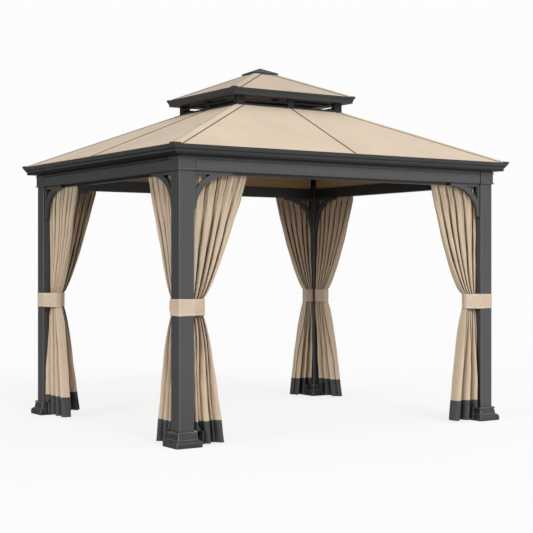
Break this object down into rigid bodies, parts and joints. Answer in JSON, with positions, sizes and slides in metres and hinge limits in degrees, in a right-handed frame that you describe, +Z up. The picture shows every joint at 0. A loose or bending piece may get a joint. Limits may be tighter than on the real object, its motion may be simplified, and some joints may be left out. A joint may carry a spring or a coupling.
{
  "type": "gazebo",
  "caption": "Open-sided metal garden gazebo: square posts on plinths, arched knee brackets, a vented double-tier hip roof, and tied-back curtains.",
  "frame": {"origin": "on the ground under the middle of the roof, midway between the posts", "axes": "+Z up, +X along the long side, -Y is the front"},
  "size_m": [3.524, 2.994, 3.278],
  "materials": {
    "frame_metal": "satin powder coat",
    "trim_metal": "satin powder coat",
    "strip_metal": "satin powder coat",
    "roof_metal": "matte powder coat",
    "soffit_board": "matte powder coat",
    "curtain_cloth": "woven",
    "hem_cloth": "woven",
    "band_cloth": "woven"
  },
  "bodies": {
    "root": {"beam_back": "frame_metal", "beam_front": "frame_metal", "beam_left": "frame_metal", "beam_right": "frame_metal", "brackets_back_left": "frame_metal", "brackets_back_right": "frame_metal", "brackets_front_left": "frame_metal", "brackets_front_right": "frame_metal", "capital_back_left": "frame_metal", "capital_back_right": "frame_metal", "capital_front_left": "frame_metal", "capital_front_right": "frame_metal", "curtains_back_left": "curtain_cloth", "curtains_back_right": "curtain_cloth", "curtains_front_left": "curtain_cloth", "curtains_front_right": "curtain_cloth", "eave_corner_caps": "trim_metal", "eave_trim_back": "trim_metal", "eave_trim_front": "trim_metal", "eave_trim_left": "trim_metal", "eave_trim_right": "trim_metal", "hems_back_left": "hem_cloth", "hems_back_right": "hem_cloth", "hems_front_left": "hem_cloth", "hems_front_right": "hem_cloth", "hip_covers": "roof_metal", "hip_rafters": "frame_metal", "mid_rafters": "frame_metal", "plinth_back_left": "frame_metal", "plinth_back_right": "frame_metal", "plinth_front_left": "frame_metal", "plinth_front_right": "frame_metal", "post_back_left": "frame_metal", "post_back_right": "frame_metal", "post_front_left": "frame_metal", "post_front_right": "frame_metal", "roof_cap": "trim_metal", "roof_panel_back": "roof_metal", "roof_panel_front": "roof_metal", "roof_panel_left": "roof_metal", "roof_panel_right": "roof_metal", "seam_strips": "strip_metal", "soffit_boards": "soffit_board", "tie_band_back_left": "band_cloth", "tie_band_back_right": "band_cloth", "tie_band_front_left": "band_cloth", "tie_band_front_right": "band_cloth", "upper_corner_caps": "trim_metal", "upper_eave_trim": "trim_metal", "upper_hip_covers": "roof_metal", "upper_panel_back": "roof_metal", "upper_panel_front": "roof_metal", "upper_panel_left": "roof_metal", "upper_panel_right": "roof_metal", "upper_rafters": "frame_metal", "vent_frame": "frame_metal"}
  },
  "joints": []
}
